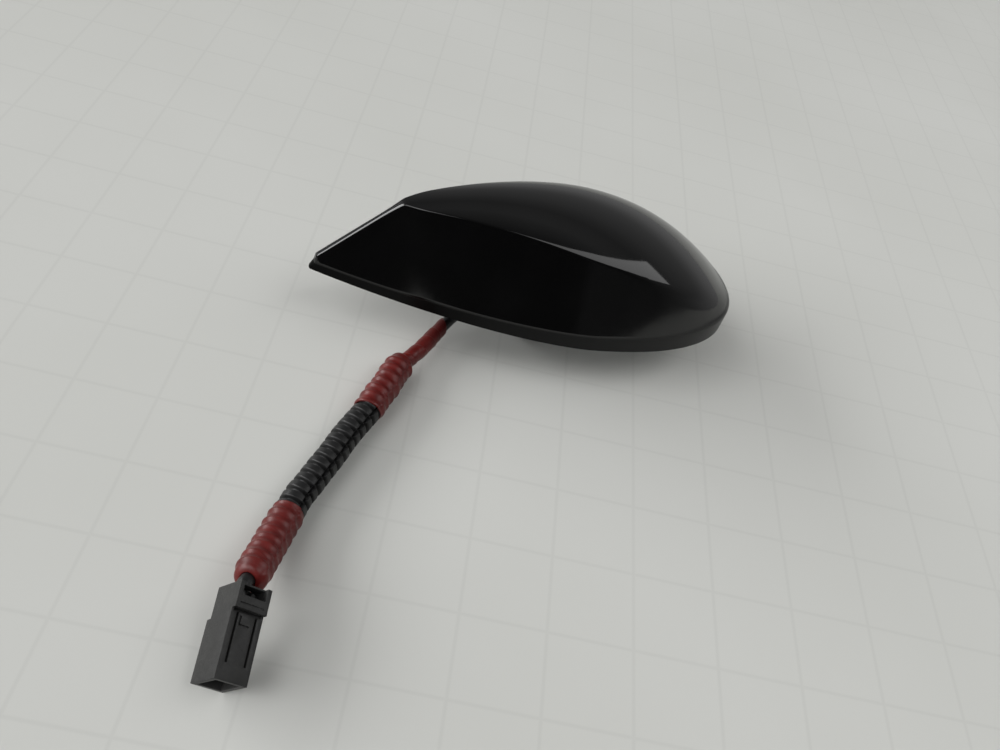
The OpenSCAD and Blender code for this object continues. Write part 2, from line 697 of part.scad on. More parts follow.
// Housing with the latch arm, its guard and the mouth, moulded in one piece
module connector_housing() {
  color("#2c2c2e") at_plug() difference() {
    union() {
      cube([plug_l, plug_w - plug_step, plug_h]);
      translate([plug_rear_l, 0, 0]) cube([plug_l - plug_rear_l, plug_w, plug_h]);
      for (z = [0, plug_h - guard_wall]) translate([0, -guard_h, z]) cube([guard_l, guard_h + 1, guard_wall]);
      translate([guard_l - 2.4, -guard_h, 0]) cube([2.4, 0.7, plug_h]);
    }
    translate([plug_l - mouth_l, plug_wall, plug_wall])
      cube([mouth_l + 1, plug_w - 2 * plug_wall, plug_h - 2 * plug_wall]);
    for (z = [arm_in, plug_h - arm_in - slot_w])
      translate([slot_from, -1, z]) cube([slot_l, 1 + slot_t, slot_w]);
    translate([-1, plug_w / 2, plug_h / 2]) rotate([0, 90, 0]) cylinder(d = entry_d, h = 5);
    translate([plug_l - mouth_l - retainer_l - 1.5, plug_wall, plug_h - retainer_t])
      cube([retainer_l + 0.1, plug_w - 2 * plug_wall, retainer_t + 1]);
  }
}

// Two contact blades in the mouth
module connector_blades() {
  color("#c8a24a") at_plug() for (s = [-1, 1])
    translate([plug_l - mouth_l, plug_w / 2 + s * blade_pitch / 2 - blade_w / 2, plug_h / 2 - blade_t / 2])
      cube([blade_l, blade_w, blade_t]);
}

// Plate that locks the contacts, pushed in from the hidden side
module connector_retainer() {
  color("#d9d9d4") at_plug()
    translate([plug_l - mouth_l - retainer_l - 1.45, plug_wall + 0.05, plug_h - retainer_t])
      cube([retainer_l, plug_w - 2 * plug_wall - 0.1, retainer_t]);
}

cover();
rim_seal();
base_plate();
roof_seal();
cover_screws();
circuit_board();
board_screws();
patch_pad();
patch_ceramic();
patch_electrode();
feed_pin();
shield_can();
filter_block();
amplifier_chip();
cable_gland();
cable_ferrule();
lead_cable();
cable_tape();
conduit();
upper_tape();
lower_tape();
connector_housing();
connector_blades();
connector_retainer();
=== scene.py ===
"""Looks of the low roof aerial: its gloss cover, taped lead in split conduit and small connector.

Lengths in the shape code are in millimetres and are turned into metres when a mesh is made.
"""
import math

import bpy
import numpy as np
from mathutils import Matrix, Vector


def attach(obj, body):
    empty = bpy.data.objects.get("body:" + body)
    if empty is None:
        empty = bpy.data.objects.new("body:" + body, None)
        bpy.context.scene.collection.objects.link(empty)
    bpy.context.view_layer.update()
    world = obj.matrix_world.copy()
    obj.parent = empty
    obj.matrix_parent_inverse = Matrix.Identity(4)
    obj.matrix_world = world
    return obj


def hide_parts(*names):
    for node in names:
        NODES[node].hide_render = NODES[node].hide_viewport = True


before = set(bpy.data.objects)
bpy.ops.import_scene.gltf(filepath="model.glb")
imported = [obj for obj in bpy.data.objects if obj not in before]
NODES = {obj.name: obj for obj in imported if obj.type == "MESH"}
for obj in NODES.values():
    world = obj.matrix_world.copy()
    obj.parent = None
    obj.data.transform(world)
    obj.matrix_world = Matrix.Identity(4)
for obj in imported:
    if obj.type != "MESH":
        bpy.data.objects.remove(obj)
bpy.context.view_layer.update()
scene = bpy.context.scene
MM = 0.001


# Mesh helpers


def add_mesh(name, points, faces, smooth=True):
    """A new object from points in millimetres."""
    mesh = bpy.data.meshes.new(name)
    mesh.from_pydata((np.asarray(points, float) * MM).tolist(), [], [list(map(int, f)) for f in faces])
    mesh.validate()
    mesh.update()
    if smooth:
        mesh.polygons.foreach_set("use_smooth", [True] * len(mesh.polygons))
    obj = bpy.data.objects.new(name, mesh)
    scene.collection.objects.link(obj)
    return obj


def grid_faces(rows, cols, wrap=False, start=0, flip=False):
    """Quads of a grid of rows by cols points, its columns closed when wrap is set."""
    faces = []
    last = cols if wrap else cols - 1
    for i in range(rows - 1):
        here = start + i * cols
        after = here + cols
        for j in range(last):
            k = (j + 1) % cols
            quad = (here + j, here + k, after + k, after + j)
            faces.append(quad[::-1] if flip else quad)
    return faces


def mark_sharp(obj, angle):
    """Edges that turn by more than angle degrees shade sharp."""
    mesh = obj.data
    normals = {}
    for poly in mesh.polygons:
        for key in poly.edge_keys:
            normals.setdefault(key, []).append(poly.normal.copy())
    limit = math.cos(math.radians(angle))
    sharp = [
        len(normals[e.key]) == 2 and normals[e.key][0].dot(normals[e.key][1]) < limit for e in mesh.edges
    ]
    attribute = mesh.attributes.new("sharp_edge", "BOOLEAN", "EDGE")
    attribute.data.foreach_set("value", sharp)


# Camera

CAMERA_AT = Vector((-79.3, -192.1, 166.5)) * MM
LOOK = Vector((0.2629, 0.663, -0.701)).normalized()
RIGHT = Vector((0.9632, -0.138, 0.2307))
RIGHT = (RIGHT - RIGHT.dot(LOOK) * LOOK).normalized()
UP = RIGHT.cross(LOOK)
camera_data = bpy.data.cameras.new("camera")
camera_data.sensor_width = 36
camera_data.lens = 33.75
camera_data.clip_start = 0.005
camera_data.clip_end = 20
camera = bpy.data.objects.new("camera", camera_data)
camera.matrix_world = Matrix.Translation(CAMERA_AT) @ Matrix((RIGHT, UP, -LOOK)).transposed().to_4x4()
scene.collection.objects.link(camera)
scene.camera = camera


# Route of the lead, as in the CAD model but eased a little at the upper tape

ROUTE = np.array(
    [
        (-15, 0, 6.6), (-15, 0, -1.6), (-15.2, -0.1, -3.4), (-16.2, -0.5, -5.4),
        (-18.6, -1.7, -7.6), (-23.2, -3.8, -9.3), (-26, -6.6, -9.9), (-29.4, -10.9, -10.2),
        (-34.2, -17.2, -10.4), (-37.1, -20.3, -10.5), (-39.7, -23, -10.5),
        (-42.1, -26.7, -10.5), (-43.9, -30.4, -10.5), (-46.7, -34.9, -10.5), (-49.3, -39.6, -10.5),
        (-52.2, -43.8, -10.5), (-55.3, -48.5, -10.5), (-58.5, -54.1, -10.5), (-61.2, -58.3, -10.5),
        (-63.8, -62.6, -10.5), (-65.9, -65.8, -10.5), (-67.6, -69.4, -10.5),
        (-69.7, -73.8, -10.2), (-71.9, -79.2, -9.3), (-73.9, -84.2, -7.8), (-75.7, -89.1, -6.1),
        (-76.9, -91.4, -5), (-77.7, -95.2, -5.8),
    ],
    float,
)
TAPE_FROM, CONDUIT_FROM, UPPER_TO, LOWER_FROM, CONDUIT_TO = 6, 10, 14, 21, 25
CABLE_R = 1.6
CONDUIT_R = 3.5
CONDUIT_BORE = 2.3
SIDE_REF = np.array([0.8, -0.6, 0])


def smooth_line(points, per=12):
    """A smooth curve through the points, and the place of each point on it."""
    p = np.vstack([2 * points[0] - points[1], points, 2 * points[-1] - points[-2]])
    out, index = [], []
    for i in range(1, len(p) - 2):
        index.append(len(out))
        a, b, c, d = p[i - 1 : i + 3]
        ta, tb, tc = (max(np.linalg.norm(v), 1e-6) ** 0.5 for v in (b - a, c - b, d - c))
        m1 = tb * ((b - a) / ta - (c - a) / (ta + tb) + (c - b) / tb)
        m2 = tb * ((c - b) / tb - (d - b) / (tb + tc) + (d - c) / tc)
        for t in np.linspace(0, 1, per, endpoint=False):
            t2, t3 = t * t, t * t * t
            start = (2 * t3 - 3 * t2 + 1) * b + (t3 - 2 * t2 + t) * m1
            out.append(start + (3 * t2 - 2 * t3) * c + (t3 - t2) * m2)
    index.append(len(out))
    out.append(points[-1])
    return np.array(out), index


LINE, LINE_INDEX = smooth_line(ROUTE)
LINE_S = np.concatenate([[0], np.cumsum(np.linalg.norm(np.diff(LINE, axis=0), axis=1))])
TANGENT = np.gradient(LINE, LINE_S, axis=0)
for _ in range(4):
    TANGENT[1:-1] = (TANGENT[:-2] + 2 * TANGENT[1:-1] + TANGENT[2:]) / 4
TANGENT /= np.linalg.norm(TANGENT, axis=1)[:, None]


def at_length(s):
    """Point, tangent and the two ring directions of the lead at lengths s."""
    s = np.atleast_1d(s)
    p = np.stack([np.interp(s, LINE_S, LINE[:, k]) for k in range(3)], 1)
    t = np.stack([np.interp(s, LINE_S, TANGENT[:, k]) for k in range(3)], 1)
    t /= np.linalg.norm(t, axis=1)[:, None]
    u = np.cross(t, SIDE_REF)
    u /= np.linalg.norm(u, axis=1)[:, None]
    return p, t, u, np.cross(t, u)


def length_at(i):
    """Length along the smooth line at route point i."""
    return LINE_S[LINE_INDEX[i]]


def swept(name, s, theta, outer, inner=None, shift=None):
    """A tube along the lead. outer and inner give its radii at each length and angle.

    shift moves each point along the lead, so that an end can be cut at a slant.
    """
    s, theta = np.asarray(s), np.asarray(theta)
    grid_s, grid_t = np.meshgrid(s, theta, indexing="ij")
    moved = grid_s + (0 if shift is None else shift(grid_s, grid_t))
    p, t, u, v = at_length(moved.ravel())
    ring = np.cos(grid_t.ravel())[:, None] * u + np.sin(grid_t.ravel())[:, None] * v
    rows, cols = grid_s.shape
    skin = p + ring * outer(grid_s, grid_t).ravel()[:, None]
    faces = grid_faces(rows, cols, wrap=True, flip=True)
    if inner is None:
        points = np.vstack([skin, p[:1], p[-1:]])
        a, b = rows * cols, rows * cols + 1
        for j in range(cols):
            k = (j + 1) % cols
            faces.append((a, j, k))
            faces.append((b, (rows - 1) * cols + k, (rows - 1) * cols + j))
        return add_mesh(name, points, faces)
    hole = p + ring * inner(grid_s, grid_t).ravel()[:, None]
    points = np.vstack([skin, hole])
    n = rows * cols
    faces += grid_faces(rows, cols, wrap=True, start=n)
    for j in range(cols):
        k = (j + 1) % cols
        faces.append((j, k, n + k, n + j))
        top = (rows - 1) * cols
        faces.append((top + k, top + j, n + top + j, n + top + k))
    return add_mesh(name, points, faces)


def ring_angles(n):
    return np.linspace(0, 2 * math.pi, n, endpoint=False)


def smoothstep(a, b, x):
    t = np.clip((x - a) / (b - a), 0, 1)
    return t * t * (3 - 2 * t)


S_TAPE, S_CONDUIT, S_UPPER, S_LOWER, S_END = (
    length_at(i) for i in (TAPE_FROM, CONDUIT_FROM, UPPER_TO, LOWER_FROM, CONDUIT_TO)
)
S_LAST = LINE_S[-1]

# Coaxial cable
cable = swept(
    "coaxial_cable",
    np.linspace(0, S_LAST, 220),
    ring_angles(28),
    lambda s, t: np.full_like(s, CABLE_R),
)

# Ribs of the conduit. Its cut edges lie out of step, so the ribs run a little slanted round it.
RIB_PITCH = 2.8
RIB_DEPTH = 0.95
RIB_CREST = 0.7
RIB_SIDE = 0.18
RIB_SLANT = 0.46
SLIT_AT = math.radians(316)


def rib_phase(s, t):
    """Place within one rib, from 0 to 1, where 0.5 is the middle of its crest."""
    round_from_slit = np.mod(t - SLIT_AT, 2 * math.pi) / (2 * math.pi)
    return (s - S_CONDUIT) / RIB_PITCH + RIB_SLANT * (round_from_slit - 0.5)


def rib_height(s, t):
    """1 on a crest and 0 in a valley."""
    x = np.abs(np.mod(rib_phase(s, t), 1) - 0.5)
    return 1 - smoothstep(RIB_CREST / 2 - RIB_SIDE / 2, RIB_CREST / 2 + RIB_SIDE / 2 + 0.04, x)


def from_slit(t):
    """Angle to the slit, without sign."""
    return np.abs(np.mod(t - SLIT_AT + math.pi, 2 * math.pi) - math.pi)


def conduit_outer(s, t):
    at_slit = smoothstep(math.radians(2), math.radians(9), from_slit(t))
    lip = 0.3 * (1 - smoothstep(0, math.radians(4), from_slit(t)))
    return CONDUIT_R - RIB_DEPTH + RIB_DEPTH * rib_height(s, t) * at_slit - lip


slit_angles = SLIT_AT + np.radians(
    np.concatenate([np.linspace(-18, 18, 19), np.linspace(23, 337, 62)])
)
conduit = swept(
    "split_conduit",
    np.arange(S_CONDUIT, S_END, 0.14),
    slit_angles,
    conduit_outer,
    lambda s, t: np.minimum(conduit_outer(s, t) - 0.2, CONDUIT_BORE + 0.1),
)


# Tape wound over the conduit, which sinks a little between the ribs

TAPE_SINK = 0.34
TAPE_BITE = 0.25
UPPER_FROM, UPPER_CLOSES = S_CONDUIT - 1.4, 2.4
LOWER_START, LOWER_TO, LOWER_CLOSES = S_LOWER + 1.2, S_END + 1.5, 2.6
UPPER_LEAST, LOWER_LEAST = 1.95, 1.85


def wound(s, t, pitch, step):
    """Thickness that the laps of a wound tape add, as a helical step."""
    lap = np.mod(s / pitch + t / (2 * math.pi), 1)
    return step * (1 - smoothstep(0, 0.9, lap)) * smoothstep(0, 0.03, lap)


def ripple(s, t, seed):
    """Small uneven stretch of the tape."""
    return (
        0.035 * np.sin(s * 1.9 + 2 * t + seed)
        + 0.025 * np.sin(s * 0.83 - 3 * t + 2.1 * seed)
        + 0.015 * np.sin(s * 4.1 + 5 * t + 0.7 * seed)
    )


def closing(s, s0, s1, first, last):
    """How far the ends of a tape close down, over the first and last lengths given."""
    k = np.zeros_like(s)
    if first:
        k = np.maximum(k, np.clip((s0 + first - s) / first, 0, 1))
    if last:
        k = np.maximum(k, np.clip((s - (s1 - last)) / last, 0, 1))
    return 1 - np.sqrt(np.maximum(0, 1 - k**2))


def tape_outer(seed, pitch, full, s0, s1, first, last, least):
    def radius(s, t):
        x = np.mod(rib_phase(s, t), 1)
        wave = (0.5 - 0.5 * np.cos(2 * math.pi * x)) ** 1.35
        r = CONDUIT_R + full - TAPE_SINK + TAPE_SINK * wave
        r = r + wound(s, t, pitch, 0.07) + ripple(s, t, seed) * 0.6
        return r + (least - r) * closing(s, s0, s1, first, last)

    return radius


def tape_bore(s0, s1, first, last, least):
    def radius(s, t):
        return CONDUIT_R - TAPE_BITE + (least - CONDUIT_R) * closing(s, s0, s1, first, last)

    return radius


def slanted(s0, s1, first, last, where):
    """Shifts one end of a tape round the tube, so that its edge runs at a slant."""

    def shift(s, t):
        k = (s - s0) / (s1 - s0)
        bend = np.cos(t - where)
        return first * (1 - smoothstep(0, 0.2, k)) * bend + last * smoothstep(0.8, 1, k) * bend

    return shift


upper_tape = swept(
    "upper_tape_wound",
    np.linspace(UPPER_FROM, S_UPPER, 170),
    ring_angles(84),
    tape_outer(0.4, 7.5, 0.38, UPPER_FROM, S_UPPER, UPPER_CLOSES, 0, UPPER_LEAST),
    tape_bore(UPPER_FROM, S_UPPER, UPPER_CLOSES, 0, UPPER_LEAST),
    slanted(S_CONDUIT, S_UPPER, 0.15, 0.5, 1.2),
)
lower_tape = swept(
    "lower_tape_wound",
    np.linspace(LOWER_START, LOWER_TO, 210),
    ring_angles(84),
    tape_outer(2.6, 8.5, 0.42, LOWER_START, LOWER_TO, 0, LOWER_CLOSES, LOWER_LEAST),
    tape_bore(LOWER_START, LOWER_TO, 0, LOWER_CLOSES, LOWER_LEAST),
    slanted(LOWER_START, S_END, 0.35, 0.1, 2.4),
)


# Narrow tape in a loose spiral over the cable


def cable_tape_outer(s, t):
    lap = np.mod((s - S_TAPE) / 4.6 - t / (2 * math.pi), 1)
    full = 0.34 + 0.16 * smoothstep(S_TAPE + 3, S_TAPE + 9, s)
    step = 0.12 * smoothstep(0, 0.05, lap) * (1 - smoothstep(0.05, 0.95, lap))
    return CABLE_R + full + step + ripple(s, t, 5) * 0.6


def cable_tape_shift(s, t):
    k = (s - S_TAPE) / (S_CONDUIT - S_TAPE)
    return 3.2 * (1 - smoothstep(0, 0.5, k)) * (0.5 + 0.5 * np.cos(t - math.radians(260)))


cable_tape = swept(
    "cable_tape_wound",
    np.linspace(S_TAPE, S_CONDUIT + 1.5, 170),
    ring_angles(60),
    cable_tape_outer,
    lambda s, t: np.full_like(s, CABLE_R + 0.02),
    cable_tape_shift,
)


# Cover: the same outline, ridge and crease as the CAD model, with its edges rounded

L, W, WIDEST = 119.5, 24.4, 45.0
NOSE_X, SEAL_T, FIN_AT, FIN_H = 55.0, 0.8, 98.0, 24.2
EDGE = 0.8
# Height of the skirt's edge at the nose, how much it falls to the tail, and the ridge's height at the tail
SKIRT_H, SKIRT_FALL, TAIL_H = 6.1, 3.5, 2.9
# The outline's power at the nose
ROUND = 2.4
# The crease's share of the half width, and its share of the ridge's height along the fin and at the nose
CREASE_OUT = 0.885
CREASE_DROP, CREASE_NOSE = 0.34, 0.136
# How far the side swells at the nose
NOSE_BULGE = 0.12
# Length over which corners are averaged, and what the nose adds to it at the skirt's edge and at the crease
CORNER_SPAN, SKIRT_SOFTER, CREASE_SOFTER = 1.0, 0.8, 7.5
# Rounding and lean of the tail end
TAIL_ROUND, TAIL_LEAN = 0.6, 0.5


def half_w(d, inset=0.0):
    d = np.asarray(d, float)
    ahead = (np.maximum(0, WIDEST - d) / (WIDEST - inset)) ** ROUND
    front = (W - inset) * np.maximum(0, 1 - ahead) ** (1 / ROUND)
    back = EDGE - inset + (W - EDGE) * (1 - (np.maximum(0, d - WIDEST) / (L - WIDEST)) ** 1.55)
    return np.where(d < WIDEST, front, back)


def skirt_z(d):
    return SKIRT_H - SKIRT_FALL * np.asarray(d, float) / L


def bezier(t, a, b, c, d):
    return (1 - t) ** 3 * a + 3 * (1 - t) ** 2 * t * b + 3 * (1 - t) * t**2 * c + t**3 * d


RIDGE_T = np.linspace(0, 1, 600) ** 1.3
RIDGE_D = bezier(RIDGE_T, 0, 1.1, 30.8, FIN_AT)
RIDGE_H = bezier(RIDGE_T, SKIRT_H, SKIRT_H, 39.8, FIN_H)


def ridge_z(d):
    d = np.asarray(d, float)
    tail = FIN_H + (d - FIN_AT) / (L - FIN_AT) * (TAIL_H - FIN_H)
    return np.where(d <= FIN_AT, np.interp(d, RIDGE_D, RIDGE_H), tail)


def soft_ridge(d, r=1.1):
    """The ridge with its corner at the fin's tip rounded."""
    k = np.linspace(-1, 1, 21)
    weight = (1 - k**2) / (1 - k**2).sum()
    near = np.clip(1 - np.abs(np.asarray(d) - FIN_AT) / 6, 0, 1)
    out = sum(w * ridge_z(np.clip(d + r * s, 0, L)) for s, w in zip(k, weight))
    return near * out + (1 - near) * ridge_z(d)


def along(d):
    return np.maximum(0, (FIN_AT - np.asarray(d, float)) / FIN_AT)


def crease_y(d):
    return np.minimum(half_w(d), EDGE + (half_w(d) - EDGE) * CREASE_OUT * along(d) ** 0.4)


def crease_z(d):
    s = along(d)
    share = 1 - CREASE_DROP * s - (1 - CREASE_DROP - CREASE_NOSE) * s**8
    return skirt_z(d) + (soft_ridge(d) - skirt_z(d)) * share


LEAN_D = np.linspace(60, 119, 119)
LEAN_RAW = (half_w(LEAN_D) - crease_y(LEAN_D)) / (crease_z(LEAN_D) - skirt_z(LEAN_D))
LEAN_K = np.bartlett(27)[1:-1]
LEAN_K /= LEAN_K.sum()
LEAN = np.convolve(np.pad(LEAN_RAW, 12, mode="edge"), LEAN_K, mode="valid")


def side_top(d):
    """Offset of the side face's top.

    Its lean changes smoothly, so no fold runs down from the fin's corner.
    """
    near = smoothstep(70, 84, d) * (1 - smoothstep(112, 118, d))
    lean = np.interp(d, LEAN_D, LEAN)
    smooth = half_w(d) - lean * (crease_z(d) - skirt_z(d))
    return np.maximum(0.55, near * smooth + (1 - near) * crease_y(d))


def half_section(d, n_side=90, n_top=120):
    """Closely spaced points from the rim up to the ridge at one place, with rounded corners."""
    w = float(half_w(d))
    s = float(skirt_z(d))
    c = float(side_top(d))
    z = float(crease_z(d))
    r = float(soft_ridge(d))
    bulge = NOSE_BULGE * min(1, max(0, (w - c) / 5)) * float(1 - smoothstep(14, 40, d))
    low = [(w, q) for q in np.linspace(0, s, 30, endpoint=False)]
    k = np.linspace(0, 1, n_side, endpoint=False)
    arch = bulge * 4 * k * (1 - k)
    side = np.stack([w + (c - w) * k + arch, s + (z - s) * k + 0.3 * arch], 1)
    k = 1 - np.linspace(0, 1, n_top)
    top = np.stack([c * k, z + (r - z) * (1 - k**2) ** (1 - 0.5 * float(along(d)))], 1)
    line = np.vstack([low, side, top])
    # Spread evenly by length, mirrored at the ridge and run on below the rim, then averaged over a short span
    whole = np.vstack([[(w, -3)], line, [(-a, b) for a, b in line[::-1][1:]], [(-w, -3)]])
    span = np.concatenate([[0], np.cumsum(np.linalg.norm(np.diff(whole, axis=0), axis=1))])
    step = 0.08
    even = np.arange(0, span[-1], step)
    y = np.interp(even, span, whole[:, 0])
    q = np.interp(even, span, whole[:, 1])

    def averaged(v, size):
        n = max(1, int(round(0.5 * size / step)))
        kernel = np.bartlett(2 * n + 3)[1:-1]
        kernel /= kernel.sum()
        return np.convolve(np.pad(v, n, mode="edge"), kernel, mode="valid")

    # The crease is crisp along the fin and fades into the nose, and the skirt's edge is soft all round
    low_size = min(w, CORNER_SPAN + SKIRT_SOFTER * float(1 - smoothstep(0, 26, d)))
    high_size = min(w, CORNER_SPAN + CREASE_SOFTER * float(1 - smoothstep(6, 46, d)))
    upper = smoothstep(s + 0.6, s + 0.6 + 0.5 * max(1.5, z - s), q)
    y = averaged(y, low_size) * (1 - upper) + averaged(y, high_size) * upper
    q = averaged(q, low_size) * (1 - upper) + averaged(q, high_size) * upper
    keep = q >= 0
    first = int(np.argmax(keep))
    mid = len(even) // 2
    y, q = y[first:mid], q[first:mid]
    return np.stack([np.append(np.append(w, y), 0), np.append(np.append(0, q), q[-1])], 1)


def resample(line, marks, counts):
    """Points spread along a line between marked shares of its length."""
    span = np.concatenate([[0], np.cumsum(np.linalg.norm(np.diff(line, axis=0), axis=1))])
    out = []
    for (a, b), n in zip(zip(marks[:-1], marks[1:]), counts):
        out += list(np.linspace(a, b, n, endpoint=False))
    out.append(marks[-1])
    at = np.array(out)
    return np.stack([np.interp(at, span, line[:, 0]), np.interp(at, span, line[:, 1])], 1)


def cover_section(d):
    line = half_section(d)
    span = np.concatenate([[0], np.cumsum(np.linalg.norm(np.diff(line, axis=0), axis=1))])
    total = span[-1]
    s = float(skirt_z(d))
    z = float(crease_z(d))
    side = float(np.hypot(half_w(d) - side_top(d), z - s))
    a = min(s, total * 0.3)
    b = min(a + side, total * 0.97)
    # Points lie closer within this distance of the two edges
    g = 0.9
    round_a = (max(a - g, a * 0.5), min(a + g, a + 0.4 * (b - a)))
    round_b = (max(b - g, b - 0.4 * (b - a)), min(b + g, b + 0.4 * (total - b)))
    return resample(line, [0, *round_a, *round_b, total], [5, 8, 12, 12, 26])


N_NOSE = 56
stations = list(WIDEST * (1 - np.cos(np.linspace(0.0, math.pi / 2, N_NOSE))))
stations[0] = 0.002
stations += list(np.linspace(WIDEST, FIN_AT - 6, 56)[1:])
stations += list(FIN_AT - 6 * (1 - np.linspace(0, 1, 26)[1:]) ** 1.5)
stations += list(np.linspace(FIN_AT, L - 0.5, 44)[1:])
stations += [L - 0.25, L - 0.1, L]
stations = np.array(stations)
rings = []
for d in stations:
    half = cover_section(d)
    left = [(NOSE_X - d, -y, q) for y, q in half]
    right = [(NOSE_X - d, y, q) for y, q in half[::-1][1:]]
    rings.append(left + right)
rings = np.array(rings)
# The tail end is rounded and leans forward
for i, d in enumerate(stations):
    back = max(0, d - (L - TAIL_ROUND)) / TAIL_ROUND
    if back > 0:
        shrink = 0.5 * (1 - math.sqrt(max(0, 1 - back**2)))
        rings[i, :, 1] *= 1 - shrink / EDGE
    lean = float(smoothstep(L - 1.5, L, d))
    rings[i, :, 0] += TAIL_LEAN * lean * np.clip(rings[i, :, 2] - 0.5, 0, 2.4)
rings[:, :, 2] += SEAL_T
R_OUT, C_OUT = rings.shape[:2]
points = rings.reshape(-1, 3)
faces = grid_faces(R_OUT, C_OUT)
tail = (R_OUT - 1) * C_OUT
faces.append(tuple(tail + j for j in range(C_OUT)))
# The narrow first section closes the nose
MIDDLE = C_OUT // 2
for j in range(MIDDLE - 1):
    faces.append((j, C_OUT - 1 - j, C_OUT - 2 - j, j + 1))
faces.append((MIDDLE - 1, MIDDLE + 1, MIDDLE))

# The inner side, and the rim between the two
WALL = 2.2
SIDE_WALL = 2.42
# The skirt's inner height keeps this much under the outer one, and is never less than the second value
SKIRT_ROOF, INNER_LEAST = 0.88, 2.7
# The inner ridge drops by this much where the top is narrow
RIDGE_DROP, NARROW = 1.54, 6.6
INNER_FROM, INNER_TO = 2.62, 109.8
inner_d = np.concatenate([[INNER_FROM], np.linspace(3.2, FIN_AT, 60), np.linspace(FIN_AT, INNER_TO, 8)[1:]])


def inner_section(d):
    w = float(half_w(d, SIDE_WALL))
    s = max(INNER_LEAST, float(skirt_z(d)) - SKIRT_ROOF)
    drop = RIDGE_DROP * (1 - min(1, float(crease_y(d)) / NARROW))
    c = min(max(0.3, float(crease_y(d)) - WALL), 0.9 * w)
    r = float(ridge_z(d)) - WALL - drop
    z = max(min(r - 0.05, float(crease_z(d)) - WALL - drop), s + 0.1)
    r = max(r, z + 0.05)
    half = [(w, 0), (w, s), ((w + c) / 2, (s + z) / 2), (c, z)]
    half += [(c * k, z + (r - z) * (1 - k * k) ** (1 - 0.5 * float(along(d)))) for k in (0.75, 0.5, 0.25, 0)]
    return half


inner = []
for d in inner_d:
    half = inner_section(d)
    left = [(NOSE_X - d, -y, q + SEAL_T) for y, q in half]
    right = [(NOSE_X - d, y, q + SEAL_T) for y, q in half[::-1][1:]]
    inner.append(left + right)
inner = np.array(inner)
R_IN, C_IN = inner.shape[:2]
base = len(points)
points = np.vstack([points, inner.reshape(-1, 3)])
faces += grid_faces(R_IN, C_IN, start=base, flip=True)
faces.append(tuple(base + j for j in range(C_IN)))
faces.append(tuple(base + (R_IN - 1) * C_IN + j for j in range(C_IN))[::-1])


def outline_loop(d_values, half, z):
    left = [(NOSE_X - d, -float(half(d)), z) for d in d_values]
    right = [(NOSE_X - d, float(half(d)), z) for d in d_values[::-1]]
    return left + right


rim_front = WIDEST * (1 - np.cos(np.linspace(0.03, math.pi / 2, 40)))
rim_d = np.concatenate([rim_front, np.linspace(WIDEST, INNER_TO, 50)[1:]])
rim_out = outline_loop(rim_d, half_w, SEAL_T)
inner_at = INNER_FROM + (rim_d - rim_d[0]) * (INNER_TO - INNER_FROM) / (INNER_TO - rim_d[0])
inner_at = np.clip(inner_at, INNER_FROM, INNER_TO)
rim_in = outline_loop(inner_at, lambda d: half_w(d, SIDE_WALL), SEAL_T)
start = len(points)
points = np.vstack([points, rim_out, rim_in])
n_rim = len(rim_out)
for j in range(n_rim):
    k = (j + 1) % n_rim
    faces.append((start + j, start + n_rim + j, start + n_rim + k, start + k))
tail_loop = outline_loop(np.linspace(INNER_TO, L - 0.3, 6), half_w, SEAL_T)
start = len(points)
points = np.vstack([points, tail_loop])
faces.append(tuple(range(start, start + len(tail_loop)))[::-1])
cover = add_mesh("fin_cover", points, faces)
mark_sharp(cover, 50)


# Connector housing

PLUG_AT = np.array((-77.2, -92.8, -5.1))
PLUG_TURN = (-123, 12, -101)
PLUG_L, PLUG_W, PLUG_H = 18.7, 8.7, 7.1


def rotation(turn):
    rx, ry, rz = (math.radians(a) for a in turn)
    return np.array(Matrix.Rotation(rz, 3, "Z") @ Matrix.Rotation(ry, 3, "Y") @ Matrix.Rotation(rx, 3, "X"))


PLUG_R = rotation(PLUG_TURN)


def plug_place(p):
    p = np.asarray(p, float) - (0, PLUG_W / 2, PLUG_H / 2)
    return p @ PLUG_R.T + PLUG_AT


def evaluated_mesh(obj):
    """A new mesh of the object with its modifiers applied."""
    bpy.context.view_layer.update()
    return bpy.data.meshes.new_from_object(obj.evaluated_get(bpy.context.evaluated_depsgraph_get()))


